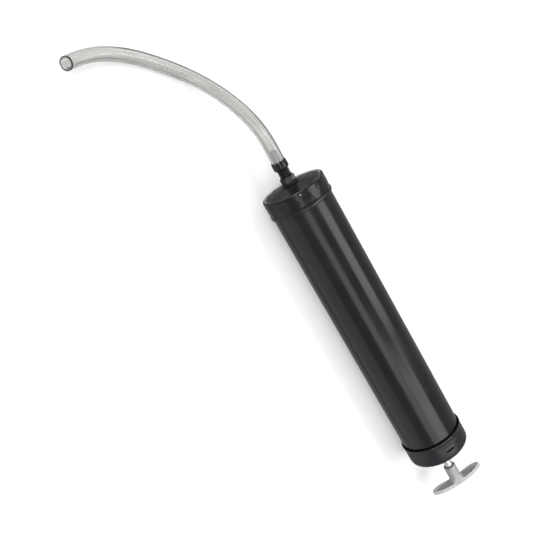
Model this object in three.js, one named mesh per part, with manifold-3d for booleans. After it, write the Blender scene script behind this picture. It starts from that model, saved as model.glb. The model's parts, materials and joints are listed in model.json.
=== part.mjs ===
// Hand oil-transfer syringe: a steel barrel with a plunger, a T-handle and a clear suction hose.
// Units are millimetres, +Z is up. The syringe lies on its side on the plane z = 0, nozzle towards +X.
// Most pieces are turned about the barrel's axis. They are drawn as (radius, station), where the
// station is the distance behind the front cap's rim, and one group lays that axis along -X.

import * as THREE from "three";
import { mergeVertices } from "three/addons/utils/BufferGeometryUtils.js";
import Module from "manifold-3d";

const wasm = await Module();
wasm.setup();

// ---------------------------------------------------------------- driving dimensions

const GAP = 0.3; // clearance between pieces that touch or slide on the real syringe
const LARGE_SIDES = 48; // sides of the barrel-sized turned pieces
const SMALL_SIDES = 24; // sides of the small turned pieces

const BARREL_RADIUS = 26;
const BARREL_WALL = 1.2;
const BARREL_LENGTH = 265;

const CAP_WALL = 0.8;
const BEAD_HEIGHT = 0.4; // how far each cap's rolled bead stands proud; the syringe lies on the beads
const BEAD_WIDTH = 1.6;
const PINCH_DEPTH = 0.25; // how far each skirt is pressed in beside its bead
const PINCH_WIDTH = 1;
const BEAD_SLOPE = 1.8; // length of the slope between pinch and bead, and between pinch and skirt
const FRONT_SKIRT = 16.6;
const FRONT_LIP = 1.1; // width of the rolled lip round the front cap's dish
const FRONT_DISH = 0.8; // how far the dish lies below the lip
const FRONT_CROWN = 3.2; // how far the pressed centre stands out of the dish
const CROWN_MARGIN = 2; // flat of the crown round the washer or the bush
const REAR_SKIRT = 19.4;
const REAR_CORNER = 3;
const REAR_CORNER_POINTS = 4;
const REAR_CROWN = 1.2;
const REAR_FLARE = 3; // length over which the rear skirt opens out to its edge
const LOCK_SLOT_LENGTH = 6.6;
const LOCK_SLOT_WIDTH = 1.3;
const LOCK_SLOT_COUNT = 3;
const LOCK_SLOT_FIRST_DEG = 17.7; // from straight up, towards +Y
const LOCK_SLOT_INSET = 10; // from the rear skirt's edge to the slot
const GASKET_THICKNESS = 1.2;
const GASKET_WIDTH = 3.7;

const SPIGOT_RADIUS = 4.7;
const NECK_STEP = 0.2; // how much thinner the neck is than the spigot
const NECK_LENGTH = 9.4;
const NECK_RIDGE = 0.35;
const NECK_RIDGE_COUNT = 3;
const OIL_WAY_RADIUS = 1.9;
const HEXAGON_WALL = 0.8; // how far the hexagon's flats stand out from the spigot
const HEXAGON_THICKNESS = 5.6;
const WASHER_THICKNESS = 0.8;
const WASHER_WIDTH = 2;
const LOCK_NUT_WALL = 2;
const LOCK_NUT_THICKNESS = 4;
const BARB_LENGTH = 14;
const BARB_TEETH = 3;
const BARB_TOOTH = 0.6; // height of a barb's tooth
const BARB_ROOT = 3; // plain stretch between the teeth and the neck
const COLLAR_WALL = 0.65;
const COLLAR_LENGTH = 6.6;
const COLLAR_ON_NECK = 2; // how far the collar reaches over the neck
const COLLAR_SOCKET = 4.3; // how deep the hose goes into the collar
const COLLAR_NOTCH_COUNT = 8;
const COLLAR_NOTCH_WIDTH = 1.7;
const COLLAR_NOTCH_DEPTH = 2.3;

const HOSE_RADIUS = 5.5;
const HOSE_WALL = 1.5;
const HOSE_SIDES = 12;
const HOSE_STEPS = 20;

const ROD_RADIUS = 3.5;
const ROD_STOP = 0.6; // left between the rod's front end and the fitting with the plunger home
const ROD_THREAD = 0.5; // rod that stands out of its front nut
const WIPER_WIDTH = 1.3;
const WIPER_DEPTH = 1.8;
const BUSH_WALL = 1.1;
const BUSH_FLANGE_WIDTH = 3;
const BUSH_FLANGE = 1.5;
const BUSH_NOSE = 3.6; // how far the bush stands out behind the rear cap
const BUSH_RING_WIDTH = 1.7;
const BUSH_RING_THICKNESS = 1;

const PISTON_NUT_WALL = 1.7; // least wall of a piston nut, at its flats
const PISTON_NUT_THICKNESS = 5;
const SPRING_WASHER_WIDTH = 2.3;
const SPRING_WASHER_THICKNESS = 1.2;
const SPRING_WASHER_SPLIT = 0.9;
const PLATE_THICKNESS = 1.6;
const PLATE_MARGIN = 3.2; // between a plate's edge and the cup lip round it
const CUP_BASE = 2.2;
const CUP_LIP_LENGTH = 6.8;
const CUP_LIP_WALL = 2.3;
const CUP_LIP_EDGE = 0.9;
const CORE_MARGIN = 2.8; // between the core disc and the bore
const CORE_THICKNESS = 4;

const HANDLE_STAND_OFF = 14.6; // bare rod between the rear bush and the handle's hub
const HUB_MOUTH_WALL = 1.4; // hub wall round the rod's socket at the mouth
const HUB_FLARE = 0.15; // how much wider the hub is at its root
const HUB_FILLET = 0.1;
const HUB_LENGTH = 15.8;
const HUB_RECESS_WIDTH = 0.8;
const HUB_RECESS_DEPTH = 1.6;
const HANDLE_SPAN = 49;
const HANDLE_WIDTH = 11;
const HANDLE_THICKNESS = 3.4;
const HANDLE_RIM = 1.5;
const HANDLE_DISH_DEPTH = 1.2;
const HANDLE_TURN_DEG = 24.5; // how far the handle is turned from level as it lies

// The hose's middle line in the part's frame: straight out of the nozzle, down to the surface and
// along it in one loose curve to the open end.
const HOSE_ROUTE = [
  [158.7, 0, 27.4],
  [166, -0.3, 27.4],
  [173.5, -0.6, 27.4],
  [181.4, -0.5, 27.3],
  [189.3, -0.1, 26.7],
  [196.8, 0.3, 25.2],
  [204.2, 1.1, 23],
  [211.5, 2.1, 20.4],
  [218.5, 3.5, 17.5],
  [225.5, 5.3, 14.6],
  [232.3, 7.6, 11.9],
  [239, 10.5, 9.5],
  [245.6, 14.1, 7.6],
  [252, 18.3, 6.3],
  [258.2, 23.1, 5.7],
  [264.3, 28.5, 5.6],
  [270.2, 34.1, 5.6],
  [276, 39.9, 5.6],
  [281.5, 45.8, 5.6],
  [286.7, 51.9, 5.6],
  [291.5, 58.3, 5.6],
  [295.8, 64.9, 5.6],
  [299.6, 71.8, 5.6],
  [302.7, 79.2, 5.6],
  [305, 86.9, 5.6],
  [306.5, 94.8, 5.6],
  [307.4, 104, 5.6],
];

// ---------------------------------------------------------------- radii that follow

const boreRadius = BARREL_RADIUS - BARREL_WALL;
const capInnerRadius = BARREL_RADIUS + GAP;
const capOuterRadius = capInnerRadius + CAP_WALL;
const beadRadius = capOuterRadius + BEAD_HEIGHT;
const pinchRadius = capOuterRadius - PINCH_DEPTH;
const capHoleRadius = SPIGOT_RADIUS + GAP;
const washerRadius = capHoleRadius + WASHER_WIDTH;
const neckRadius = SPIGOT_RADIUS - NECK_STEP;
const hexagonFlats = 2 * (SPIGOT_RADIUS + HEXAGON_WALL);
const hoseBoreRadius = HOSE_RADIUS - HOSE_WALL;
const barbRadius = hoseBoreRadius - 2 * GAP;
const collarSocketRadius = HOSE_RADIUS + GAP;
const collarRadius = collarSocketRadius + COLLAR_WALL;
const rodHoleRadius = ROD_RADIUS + GAP;
const wiperRadius = rodHoleRadius + WIPER_WIDTH;
const bushRadius = wiperRadius + GAP + BUSH_WALL;
const bushFlangeRadius = bushRadius + BUSH_FLANGE_WIDTH;
const cupRadius = boreRadius - GAP;
const cupLipInnerRadius = cupRadius - CUP_LIP_WALL;
const hubMouthRadius = rodHoleRadius + HUB_MOUTH_WALL;
const hubRootRadius = hubMouthRadius + HUB_FLARE;

// ---------------------------------------------------------------- stations along the axis

const dishInside = FRONT_DISH + CAP_WALL; // inner face of the front cap beside its skirt
const crownFace = FRONT_DISH - FRONT_CROWN;
const gasketFront = dishInside + GAP;
const tubeFront = gasketFront + GASKET_THICKNESS + GAP;
const tubeRear = tubeFront + BARREL_LENGTH;
const cornerStart = tubeRear + GAP; // where the rear cap's skirt starts to turn in
const rearCapFace = cornerStart + REAR_CORNER;
const rearCapInside = rearCapFace - CAP_WALL;
const rearSkirtEdge = rearCapFace - REAR_SKIRT;

const washerRear = crownFace - GAP;
const hexagonRear = washerRear - WASHER_THICKNESS - GAP;
const hexagonFront = hexagonRear - HEXAGON_THICKNESS;
const neckFront = hexagonFront - NECK_LENGTH;
const barbTip = neckFront - BARB_LENGTH;
const innerWasherFront = crownFace + CAP_WALL + GAP;
const lockNutFront = innerWasherFront + WASHER_THICKNESS + GAP;
const spigotRear = lockNutFront + LOCK_NUT_THICKNESS;
const collarRear = neckFront + COLLAR_ON_NECK;
const collarFront = collarRear - COLLAR_LENGTH;
const socketFloor = collarFront + COLLAR_SOCKET;

const bushFlangeRear = rearCapInside + REAR_CROWN - GAP;
const bushFlangeFront = bushFlangeRear - BUSH_FLANGE;
const bushRear = rearCapFace + REAR_CROWN + BUSH_NOSE;
const bushRingFront = rearCapFace + REAR_CROWN + GAP;
const hubMouth = bushRear + HANDLE_STAND_OFF;
const plateFront = hubMouth + HUB_LENGTH;
const plateRear = plateFront + HANDLE_THICKNESS;
const rodFront = spigotRear + ROD_STOP;
const rodRear = plateFront - GAP;

// The frame's origin in X is midway between the barb's tip and the handle's palm face.
const middleStation = (barbTip + plateRear) / 2;
const axisHeight = beadRadius * Math.cos(Math.PI / LARGE_SIDES);

// ---------------------------------------------------------------- materials

const finish = (color, roughness, metalness) =>
  new THREE.MeshStandardMaterial({ color, roughness, metalness });

const barrelPaint = finish(0x2c2c2e, 0.35, 0);
const capPaint = finish(0x26262a, 0.25, 0);
const blackPlastic = finish(0x161617, 0.4, 0);
const rubber = finish(0x1b1b1b, 0.8, 0);
const zincPlate = finish(0xc9cbcc, 0.3, 1);
const casting = finish(0xb4b5b3, 0.5, 1);
const nylon = finish(0xe6e2d6, 0.5, 0);
const felt = finish(0x8a8378, 0.95, 0);
const clearVinyl = finish(0xc6cbc2, 0.2, 0);

// ---------------------------------------------------------------- solid helpers

const OVERSHOOT = 1; // how far a cutter reaches past what it cuts

// A closed geometry with its shared vertices merged, as a solid.
function solid(geometry) {
  const bare = geometry.clone();
  bare.deleteAttribute("normal");
  bare.deleteAttribute("uv");
  const merged = mergeVertices(bare, 1e-4);
  const mesh = new wasm.Mesh({
    numProp: 3,
    vertProperties: merged.attributes.position.array,
    triVerts: new Uint32Array(merged.index.array),
  });
  return new wasm.Manifold(mesh);
}

// A solid back as a geometry.
function geometryOf(body) {
  const mesh = body.getMesh();
  const geometry = new THREE.BufferGeometry();
  geometry.setAttribute("position", new THREE.BufferAttribute(mesh.vertProperties, 3));
  geometry.setIndex(new THREE.BufferAttribute(mesh.triVerts, 1));
  geometry.computeVertexNormals();
  return geometry;
}

// A turned shape. The outline runs along its outer side towards greater stations, back along its
// inner side, and closes on itself. A flat faces straight down, so that the beads lie on a flat.
function turned(outline, sides = SMALL_SIDES) {
  const points = [...outline, outline[0]].map(([r, s]) => new THREE.Vector2(r, s));
  return new THREE.LatheGeometry(points, sides, Math.PI / sides, 2 * Math.PI);
}

function ring(inner, outer, front, thickness, sides = SMALL_SIDES) {
  const rear = front + thickness;
  return turned([[outer, front], [outer, rear], [inner, rear], [inner, front]], sides);
}

function bar(radius, front, rear) {
  const shape = new THREE.CylinderGeometry(radius, radius, rear - front, SMALL_SIDES);
  shape.rotateY(Math.PI / SMALL_SIDES);
  return shape.translate(0, (front + rear) / 2, 0);
}

// A bar that cuts right through from front to rear.
const drill = (radius, front, rear) => solid(bar(radius, front - OVERSHOOT, rear + OVERSHOOT));

function block(width, depth, height, station, z) {
  return new THREE.BoxGeometry(width, depth, height).translate(0, station, z);
}

// A hexagon bar with its corners chamfered at both ends.
function hexagon(flats, front, rear) {
  const corner = flats / 2 / Math.cos(Math.PI / 6);
  const prism = new THREE.CylinderGeometry(corner, corner, rear - front, 6);
  prism.translate(0, (front + rear) / 2, 0);
  const ease = corner - flats / 2;
  const outside = corner + OVERSHOOT;
  const easeOut = ease + OVERSHOOT;
  const chamfer = turned([
    [0, front], [flats / 2, front], [outside, front + easeOut], [outside, rear - easeOut],
    [flats / 2, rear], [0, rear],
  ]);
  return solid(prism).intersect(solid(chamfer));
}

// Copies of a cutter, spread evenly round the axis.
function around(count, cutter, firstDeg = 0) {
  const first = THREE.MathUtils.degToRad(firstDeg);
  const turnOf = (i) => first + (2 * Math.PI * i) / count;
  return Array.from({ length: count }, (_, i) => solid(cutter.clone().rotateY(turnOf(i))));
}

const subtractAll = (body, cutters) => cutters.reduce((rest, cutter) => rest.subtract(cutter), body);

// ---------------------------------------------------------------- assembly

const root = new THREE.Group();
const onAxis = new THREE.Group();
onAxis.rotation.z = Math.PI / 2;
onAxis.position.set(middleStation, 0, axisHeight);
root.add(onAxis);

function add(name, geometry, material, parent = onAxis) {
  const mesh = new THREE.Mesh(geometry, material);
  mesh.name = name;
  parent.add(mesh);
  return mesh;
}

// ---------------------------------------------------------------- barrel and caps

function frontCap() {
  const dishRadius = capInnerRadius - GASKET_WIDTH - GAP;
  const crownRadius = washerRadius + CROWN_MARGIN;
  const lipTop = capOuterRadius - FRONT_LIP;
  const beadEnd = FRONT_SKIRT - BEAD_WIDTH / 2;
  const beadStart = beadEnd - BEAD_WIDTH;
  const pinchEnd = beadStart - BEAD_SLOPE;
  const pinchStart = pinchEnd - PINCH_WIDTH;
  return turned([
    [capHoleRadius, crownFace], [crownRadius, crownFace], [dishRadius, FRONT_DISH],
    [lipTop - FRONT_DISH, FRONT_DISH], [lipTop, 0], [capOuterRadius, FRONT_LIP],
    [capOuterRadius, pinchStart - BEAD_SLOPE], [pinchRadius, pinchStart], [pinchRadius, pinchEnd],
    [beadRadius, beadStart], [beadRadius, beadEnd], [capOuterRadius, FRONT_SKIRT],
    [capInnerRadius, FRONT_SKIRT], [capInnerRadius, dishInside], [dishRadius, dishInside],
    [crownRadius, crownFace + CAP_WALL], [capHoleRadius, crownFace + CAP_WALL],
  ], LARGE_SIDES);
}

// Points of the rear cap's rounded corner, from the skirt in to the face or back.
function rearCornerArc(radius, fromDeg, toDeg) {
  const centre = capOuterRadius - REAR_CORNER;
  return Array.from({ length: REAR_CORNER_POINTS }, (_, i) => {
    const share = i / (REAR_CORNER_POINTS - 1);
    const turn = THREE.MathUtils.degToRad(THREE.MathUtils.lerp(fromDeg, toDeg, share));
    return [centre + radius * Math.cos(turn), cornerStart + radius * Math.sin(turn)];
  });
}

function rearCap() {
  const hole = bushRadius + GAP;
  const crownRadius = bushFlangeRadius + CROWN_MARGIN;
  const beadEnd = rearSkirtEdge + BEAD_WIDTH;
  const pinchStart = beadEnd + BEAD_SLOPE;
  const pinchEnd = pinchStart + PINCH_WIDTH;
  const body = solid(turned([
    [beadRadius, rearSkirtEdge], [beadRadius, beadEnd], [pinchRadius, pinchStart],
    [pinchRadius, pinchEnd], [capOuterRadius, pinchEnd + BEAD_SLOPE],
    ...rearCornerArc(REAR_CORNER, 0, 90), [crownRadius, rearCapFace + REAR_CROWN],
    [hole, rearCapFace + REAR_CROWN], [hole, rearCapInside + REAR_CROWN],
    [crownRadius, rearCapInside + REAR_CROWN], ...rearCornerArc(REAR_CORNER - CAP_WALL, 90, 0),
    [capInnerRadius, rearSkirtEdge + REAR_FLARE], [beadRadius - CAP_WALL / 2, rearSkirtEdge],
  ], LARGE_SIDES));
  const slot = block(
    LOCK_SLOT_LENGTH, LOCK_SLOT_WIDTH, 4 * CAP_WALL, rearSkirtEdge + LOCK_SLOT_INSET, capOuterRadius,
  );
  return geometryOf(subtractAll(body, around(LOCK_SLOT_COUNT, slot, LOCK_SLOT_FIRST_DEG)));
}

const barrelTube = ring(boreRadius, BARREL_RADIUS, tubeFront, BARREL_LENGTH, LARGE_SIDES);
const frontGasket = ring(
  capInnerRadius - GASKET_WIDTH, BARREL_RADIUS, gasketFront, GASKET_THICKNESS, LARGE_SIDES,
);

add("barrel_tube", barrelTube, barrelPaint);
add("front_cap", frontCap(), capPaint);
add("rear_cap", rearCap(), capPaint);
add("front_gasket", frontGasket, rubber);

// ---------------------------------------------------------------- nozzle fitting

function barbOutline() {
  const pitch = (BARB_LENGTH - BARB_ROOT) / BARB_TEETH;
  const root = barbRadius - BARB_TOOTH;
  const teeth = Array.from({ length: BARB_TEETH }, (_, i) => {
    const tip = barbTip + i * pitch;
    return [[root, tip], [barbRadius, tip + 0.8 * pitch]];
  });
  return [...teeth.flat(), [root, neckFront - BARB_ROOT + 1], [root, neckFront]];
}

function neckOutline() {
  const ridgeStart = collarRear + GAP;
  const pitch = (hexagonFront - ridgeStart) / (NECK_RIDGE_COUNT + 0.5);
  const crest = neckRadius + NECK_RIDGE;
  const ridges = Array.from({ length: NECK_RIDGE_COUNT }, (_, i) => {
    const start = ridgeStart + i * pitch;
    const end = start + pitch / 2;
    return [[neckRadius, start], [crest, start + NECK_RIDGE], [crest, end], [neckRadius, end + NECK_RIDGE]];
  });
  return [[neckRadius, neckFront], ...ridges.flat(), [neckRadius, hexagonFront + 1]];
}

function fittingBody() {
  const body = solid(turned([
    [0, barbTip], ...barbOutline(), ...neckOutline(), [SPIGOT_RADIUS, hexagonFront + 1 + NECK_STEP],
    [SPIGOT_RADIUS, spigotRear], [0, spigotRear],
  ]));
  const flange = hexagon(hexagonFlats, hexagonFront, hexagonRear);
  return geometryOf(body.add(flange).subtract(drill(OIL_WAY_RADIUS, barbTip, spigotRear)));
}

function hoseCollar() {
  const neckHole = neckRadius + GAP;
  const taper = 0.2;
  const body = solid(turned([
    [collarRadius - taper, collarFront], [collarRadius, collarRear - COLLAR_ON_NECK / 2],
    [collarRadius - taper, collarRear], [neckHole, collarRear], [neckHole, socketFloor + GAP],
    [collarSocketRadius, socketFloor], [collarSocketRadius, collarFront],
  ]));
  const notch = block(
    COLLAR_NOTCH_WIDTH, 2 * COLLAR_NOTCH_DEPTH, 4 * COLLAR_WALL, collarFront, collarRadius,
  );
  return geometryOf(subtractAll(body, around(COLLAR_NOTCH_COUNT, notch)));
}

// A nut with its least wall at the flats.
function nut(holeRadius, wall, front, thickness) {
  const rear = front + thickness;
  return geometryOf(hexagon(2 * (holeRadius + wall), front, rear).subtract(drill(holeRadius, front, rear)));
}

const washer = (front) => ring(capHoleRadius, washerRadius, front, WASHER_THICKNESS);

add("fitting_body", fittingBody(), blackPlastic);
add("fitting_washer", washer(washerRear - WASHER_THICKNESS), rubber);
add("fitting_inner_washer", washer(innerWasherFront), zincPlate);
add("fitting_lock_nut", nut(capHoleRadius, LOCK_NUT_WALL, lockNutFront, LOCK_NUT_THICKNESS), zincPlate);
add("hose_collar", hoseCollar(), blackPlastic);

// ---------------------------------------------------------------- hose

function hose() {
  const section = new THREE.Shape();
  const bore = new THREE.Path();
  for (let i = 0; i < HOSE_SIDES; i += 1) {
    const turn = (2 * Math.PI * (i + 0.5)) / HOSE_SIDES;
    const step = i === 0 ? "moveTo" : "lineTo";
    section[step](HOSE_RADIUS * Math.cos(turn), HOSE_RADIUS * Math.sin(turn));
    bore[step](hoseBoreRadius * Math.cos(turn), hoseBoreRadius * Math.sin(turn));
  }
  section.holes.push(bore);
  const route = HOSE_ROUTE.map((point) => new THREE.Vector3(...point));
  const extrudePath = new THREE.CatmullRomCurve3(route);
  return new THREE.ExtrudeGeometry(section, { steps: HOSE_STEPS, extrudePath });
}

add("hose", hose(), clearVinyl, root);

// ---------------------------------------------------------------- rod guide

function rodBush() {
  const pocket = bushRear - WIPER_DEPTH;
  return turned([
    [bushFlangeRadius, bushFlangeFront], [bushFlangeRadius, bushFlangeRear],
    [bushRadius, bushFlangeRear], [bushRadius, bushRear], [wiperRadius + GAP, bushRear],
    [wiperRadius + GAP, pocket], [rodHoleRadius, pocket], [rodHoleRadius, bushFlangeFront],
  ]);
}

const bushRingHole = bushRadius + GAP;
const bushRing = ring(bushRingHole, bushRingHole + BUSH_RING_WIDTH, bushRingFront, BUSH_RING_THICKNESS);
const wiper = ring(rodHoleRadius, wiperRadius, bushRear - WIPER_DEPTH + GAP, WIPER_DEPTH - GAP);

add("rod_bush", rodBush(), nylon);
add("bush_retaining_ring", bushRing, zincPlate);
add("rod_wiper", wiper, felt);

// ---------------------------------------------------------------- piston

function springWasher(front) {
  const radius = rodHoleRadius + SPRING_WASHER_WIDTH;
  const body = solid(ring(rodHoleRadius, radius, front, SPRING_WASHER_THICKNESS));
  const reach = radius + OVERSHOOT;
  const split = block(SPRING_WASHER_SPLIT, 3 * SPRING_WASHER_THICKNESS, reach, front, reach / 2);
  return geometryOf(body.subtract(solid(split)));
}

const pistonNut = (front) => nut(rodHoleRadius, PISTON_NUT_WALL, front, PISTON_NUT_THICKNESS);

const disc = (radius, thickness) => (front) =>
  ring(rodHoleRadius, radius, front, thickness, LARGE_SIDES);

// A cup seal whose lip stands forward, round the plate in front of it.
function frontCup(front) {
  const rear = front + CUP_BASE;
  const lip = front - CUP_LIP_LENGTH;
  return turned([
    [cupRadius, lip], [cupRadius, rear], [rodHoleRadius, rear], [rodHoleRadius, front],
    [cupLipInnerRadius, front], [cupRadius - CUP_LIP_EDGE, lip],
  ], LARGE_SIDES);
}

// A cup seal whose lip stands backward, round the plate behind it.
function rearCup(front) {
  const rear = front + CUP_BASE;
  const lip = rear + CUP_LIP_LENGTH;
  return turned([
    [cupRadius, front], [cupRadius, lip], [cupRadius - CUP_LIP_EDGE, lip], [cupLipInnerRadius, rear],
    [rodHoleRadius, rear], [rodHoleRadius, front],
  ], LARGE_SIDES);
}

const pistonPlate = disc(cupLipInnerRadius - PLATE_MARGIN, PLATE_THICKNESS);
const pistonCore = disc(boreRadius - CORE_MARGIN, CORE_THICKNESS);

// The piston's stack on the rod, from front to rear.
const pistonStack = [
  ["piston_front_nut", pistonNut, PISTON_NUT_THICKNESS, zincPlate],
  ["piston_front_lock_washer", springWasher, SPRING_WASHER_THICKNESS, zincPlate],
  ["piston_front_plate", pistonPlate, PLATE_THICKNESS, zincPlate],
  ["piston_front_cup", frontCup, CUP_BASE, rubber],
  ["piston_core", pistonCore, CORE_THICKNESS, nylon],
  ["piston_rear_cup", rearCup, CUP_BASE, rubber],
  ["piston_rear_plate", pistonPlate, PLATE_THICKNESS, zincPlate],
  ["piston_rear_lock_washer", springWasher, SPRING_WASHER_THICKNESS, zincPlate],
  ["piston_rear_nut", pistonNut, PISTON_NUT_THICKNESS, zincPlate],
];

let stackStation = rodFront + ROD_THREAD;
for (const [name, make, thickness, material] of pistonStack) {
  add(name, make(stackStation), material);
  stackStation += thickness + GAP;
}

// ---------------------------------------------------------------- plunger rod and handle

function ovalPlate(halfLength, halfWidth, front, rear) {
  const outline = new THREE.Shape();
  outline.absellipse(0, 0, halfLength, halfWidth, 0, 2 * Math.PI);
  const options = { depth: rear - front, bevelEnabled: false, curveSegments: 36 };
  const shape = new THREE.ExtrudeGeometry(outline, options);
  return shape.rotateX(-Math.PI / 2).translate(0, front, 0);
}

function tHandle() {
  const hubRear = plateFront + HANDLE_DISH_DEPTH + GAP;
  const filletRadius = hubRootRadius + HUB_FILLET;
  const hub = turned([
    [0, hubMouth], [hubMouthRadius, hubMouth], [hubRootRadius, plateFront - 2 * HUB_FILLET],
    [filletRadius, plateFront], [filletRadius, hubRear], [0, hubRear],
  ]);
  const half = [HANDLE_SPAN / 2, HANDLE_WIDTH / 2];
  const inside = half.map((size) => size - HANDLE_RIM);
  const oval = solid(ovalPlate(...half, plateFront, plateRear));
  const dish = solid(ovalPlate(...inside, plateFront - OVERSHOOT, plateFront + HANDLE_DISH_DEPTH));
  const recessRadius = ROD_RADIUS + HUB_RECESS_WIDTH;
  const recess = solid(bar(recessRadius, hubMouth - OVERSHOOT, hubMouth + HUB_RECESS_DEPTH));
  const socket = solid(bar(rodHoleRadius, hubMouth, plateFront));
  return geometryOf(subtractAll(oval.subtract(dish).add(solid(hub)), [recess, socket]));
}

add("plunger_rod", bar(ROD_RADIUS, rodFront, rodRear), zincPlate);
const handle = add("t_handle", tHandle(), casting);
handle.rotation.y = THREE.MathUtils.degToRad(HANDLE_TURN_DEG);

export default root;
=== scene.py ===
# %% [markdown]
# # A hand oil-transfer syringe
# A steel barrel about as long as a forearm, with a pressed cap on each end. A rod with a
# T-handle draws a piston along the barrel, and oil comes in through a clear hose on a barbed
# nozzle. It lies on its side on a pale floor.
#
# The mechanism arrives ready made as a fixed frame, and its boxes say where everything goes.
# This lesson models the fine pieces that are seen, gives each its finish, and lights them.

# %% Load the frame
import json
from math import cos, pi, radians, sin

import bmesh
import bpy
from mathutils import Matrix, Vector

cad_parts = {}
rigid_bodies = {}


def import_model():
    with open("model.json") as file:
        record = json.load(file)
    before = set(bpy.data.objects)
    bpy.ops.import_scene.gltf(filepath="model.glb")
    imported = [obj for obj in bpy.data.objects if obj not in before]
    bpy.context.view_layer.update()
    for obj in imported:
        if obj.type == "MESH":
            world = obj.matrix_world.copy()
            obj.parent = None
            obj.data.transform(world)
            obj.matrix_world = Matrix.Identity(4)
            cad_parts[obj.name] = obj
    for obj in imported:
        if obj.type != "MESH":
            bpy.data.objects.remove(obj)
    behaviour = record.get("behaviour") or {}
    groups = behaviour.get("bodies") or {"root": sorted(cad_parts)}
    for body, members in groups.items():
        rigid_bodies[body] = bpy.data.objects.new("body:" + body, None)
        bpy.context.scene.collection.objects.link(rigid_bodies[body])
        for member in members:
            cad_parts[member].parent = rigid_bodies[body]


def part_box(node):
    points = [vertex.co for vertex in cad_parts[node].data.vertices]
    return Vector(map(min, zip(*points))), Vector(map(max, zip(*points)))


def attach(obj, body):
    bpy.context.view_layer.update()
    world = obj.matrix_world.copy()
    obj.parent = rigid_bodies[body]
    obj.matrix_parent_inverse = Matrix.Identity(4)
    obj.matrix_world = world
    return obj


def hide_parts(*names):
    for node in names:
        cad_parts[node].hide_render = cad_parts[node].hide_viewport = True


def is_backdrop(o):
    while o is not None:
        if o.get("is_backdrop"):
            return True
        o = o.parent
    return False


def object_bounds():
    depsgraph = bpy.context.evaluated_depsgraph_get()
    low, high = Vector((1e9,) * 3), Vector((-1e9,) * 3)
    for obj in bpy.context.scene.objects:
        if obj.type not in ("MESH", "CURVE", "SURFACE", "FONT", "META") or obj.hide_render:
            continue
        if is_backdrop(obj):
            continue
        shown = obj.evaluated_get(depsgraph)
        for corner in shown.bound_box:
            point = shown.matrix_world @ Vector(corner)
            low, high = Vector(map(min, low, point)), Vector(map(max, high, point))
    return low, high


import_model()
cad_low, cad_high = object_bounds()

print("mechanism:", [round(high - low, 4) for low, high in zip(cad_low, cad_high)], "m")

# %% [markdown]
# ## The camera
# The camera comes first, because the hose is laid out for its view. It looks down on the
# syringe from the nozzle's side and is turned about its own line of sight, so the syringe
# runs across the view from corner to corner. A camera could be aimed with a constraint,
# but a turned one is plainer as three directions: its right, its up and its back.

# %% Camera
CAMERA_PLACE = Vector((0.3115, 0.4058, 0.6326))
CAMERA_RIGHT = Vector((-0.4856, -0.6713, 0.5599))
CAMERA_UP = Vector((0.8233, -0.5665, 0.0349))
CAMERA_LENS = 62.43

bpy.ops.object.camera_add(location=CAMERA_PLACE)
camera = bpy.context.object
camera_back = CAMERA_RIGHT.cross(CAMERA_UP)
turned = Matrix((CAMERA_RIGHT, CAMERA_UP, camera_back)).transposed().to_4x4()
camera.matrix_world = Matrix.Translation(CAMERA_PLACE) @ turned.to_quaternion().to_matrix().to_4x4()
camera.data.sensor_width = 36
camera.data.lens = CAMERA_LENS
bpy.context.scene.camera = camera
print("camera", round(CAMERA_PLACE.length, 2), "m from the origin")

# %% [markdown]
# ## Finding the barrel's axis
# Nearly every piece of a syringe is turned about one line. The tube's box gives that line,
# and every place along it is then written as a station: how many millimetres it lies behind
# the front cap's rim. Stations read like a maker's drawing, and one helper turns them back
# into places in space.

# %% Axis and stations
MM = 0.001
RIM_TO_TUBE = 3.4

tube_low, tube_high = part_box("barrel_tube")
AXIS_Z = (tube_low[2] + tube_high[2]) / 2
RIM_X = tube_high[0] + RIM_TO_TUBE * MM


def place(radius, station, degrees=0.0):
    """A point that far from the axis, turned from straight up towards +Y."""
    turn_angle = radians(degrees)
    across = radius * MM * sin(turn_angle)
    return Vector((RIM_X - station * MM, across, AXIS_Z + radius * MM * cos(turn_angle)))


def stations(node):
    """Where a piece of the mechanism starts and ends along the axis."""
    low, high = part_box(node)
    return (RIM_X - high[0]) / MM, (RIM_X - low[0]) / MM


print("axis height", round(AXIS_Z / MM, 2), "mm, tube from", stations("barrel_tube"))

# %% [markdown]
# ## Small habits
# Operators act on whatever is selected, and the frame arrives selected, so each piece starts
# with nothing selected. Points and faces are picked in code by where they are, which does
# the work of a mouse click.

# %% Selecting and finishing helpers
SHARP_ANGLE = radians(32)


def select_only(piece):
    bpy.ops.object.select_all(action="DESELECT")
    piece.select_set(True)
    bpy.context.view_layer.objects.active = piece


def pick(piece, test, kind="verts"):
    """In edit mode, select just the points, edges or faces that pass the test."""
    bpy.ops.mesh.select_all(action="DESELECT")
    mode = {"verts": "VERT", "edges": "EDGE", "faces": "FACE"}[kind]
    bpy.ops.mesh.select_mode(type=mode)
    cage = bmesh.from_edit_mesh(piece.data)
    chosen = [item for item in getattr(cage, kind) if test(item)]
    for item in chosen:
        item.select_set(True)
    cage.select_flush_mode()
    bmesh.update_edit_mesh(piece.data)
    return len(chosen)


def apply_modifier(piece, kind, **settings):
    select_only(piece)
    bpy.ops.object.modifier_add(type=kind)
    modifier = piece.modifiers[-1]
    for setting, value in settings.items():
        setattr(modifier, setting, value)
    bpy.ops.object.modifier_apply(modifier=modifier.name)


def settle(piece):
    """Put the piece's place into its mesh and shade it, crisp only at real edges."""
    select_only(piece)
    bpy.ops.object.transform_apply(location=True, rotation=True, scale=True)
    bpy.ops.object.shade_smooth_by_angle(angle=SHARP_ANGLE)
    return piece


def report(piece):
    print(piece.name, len(piece.data.polygons), "faces")
    return piece


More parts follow.
